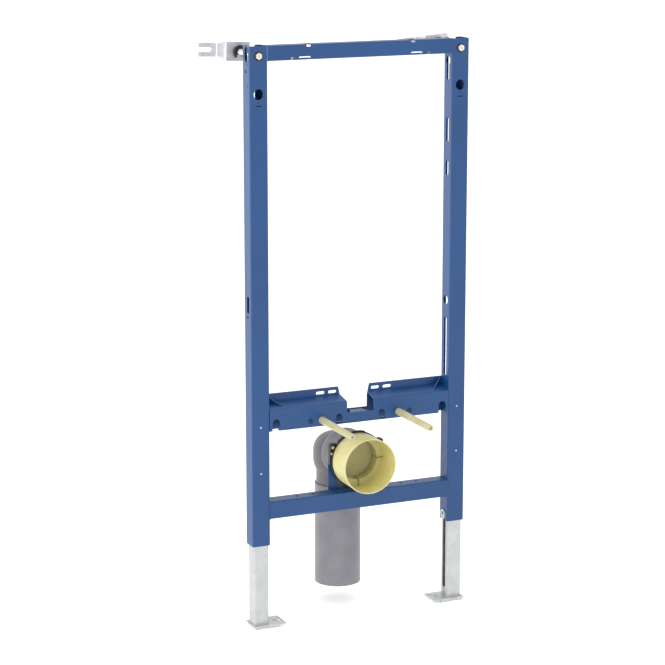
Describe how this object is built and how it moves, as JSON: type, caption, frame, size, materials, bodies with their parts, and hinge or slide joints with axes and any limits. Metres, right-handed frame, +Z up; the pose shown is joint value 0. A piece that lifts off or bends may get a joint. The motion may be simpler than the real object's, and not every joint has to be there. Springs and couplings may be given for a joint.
{
  "type": "wall hung toilet frame",
  "caption": "Folded steel frame on telescoping legs that carries a wall hung toilet bowl, with wall anchors, bowl studs and a drain bend.",
  "frame": {"origin": "midway between the two floor bolts, on the underside of the foot sheets", "axes": "+Z up, +X to the right seen from the front, +Y from the front towards the wall"},
  "size_m": [0.5577, 0.329, 1.2424],
  "materials": {
    "blue_paint": "satin powder coat",
    "zinc": "bright zinc plating",
    "grey_pipe": "smooth grey polyethylene",
    "yellow_plastic": "pale yellow moulded plastic",
    "black_plastic": "black moulded plastic",
    "black_rubber": "black rubber"
  },
  "bodies": {
    "frame": {"left_post": "blue_paint", "left_leg_brake": "zinc", "left_anchor_rod": "zinc", "left_anchor_bush": "black_plastic", "left_bowl_stud": "zinc", "left_stud_sleeve": "yellow_plastic", "left_stud_nut": "zinc", "right_post": "blue_paint", "right_leg_brake": "zinc", "right_anchor_rod": "zinc", "right_anchor_bush": "black_plastic", "right_bowl_stud": "zinc", "right_stud_sleeve": "yellow_plastic", "right_stud_nut": "zinc", "top_rail": "blue_paint", "lower_traverse": "blue_paint", "bowl_plate": "blue_paint", "drain_bracket": "blue_paint", "drain_clamp": "black_plastic", "drain_seal": "black_rubber", "drain_bend": "grey_pipe", "drain_pipe": "grey_pipe", "drain_cap": "yellow_plastic"},
    "left_leg": {"left_leg": "zinc", "left_foot_plate": "zinc"},
    "right_leg": {"right_leg": "zinc", "right_foot_plate": "zinc"},
    "left_anchor": {"left_wall_bracket": "zinc", "left_anchor_ring": "black_plastic", "left_anchor_nut": "zinc"},
    "right_anchor": {"right_wall_bracket": "zinc", "right_anchor_ring": "black_plastic", "right_anchor_nut": "zinc"}
  },
  "joints": [
    {"name": "left_leg_slide", "type": "slide", "parent": "frame", "child": "left_leg", "axis": [0, 0, 1], "range_m": [-0.082, 0.118]},
    {"name": "right_leg_slide", "type": "slide", "parent": "frame", "child": "right_leg", "axis": [0, 0, 1], "range_m": [-0.082, 0.118]},
    {"name": "left_anchor_slide", "type": "slide", "parent": "frame", "child": "left_anchor", "axis": [0, 1, 0], "range_m": [-0.005, 0.04]},
    {"name": "right_anchor_slide", "type": "slide", "parent": "frame", "child": "right_anchor", "axis": [0, 1, 0], "range_m": [-0.005, 0.04]}
  ]
}
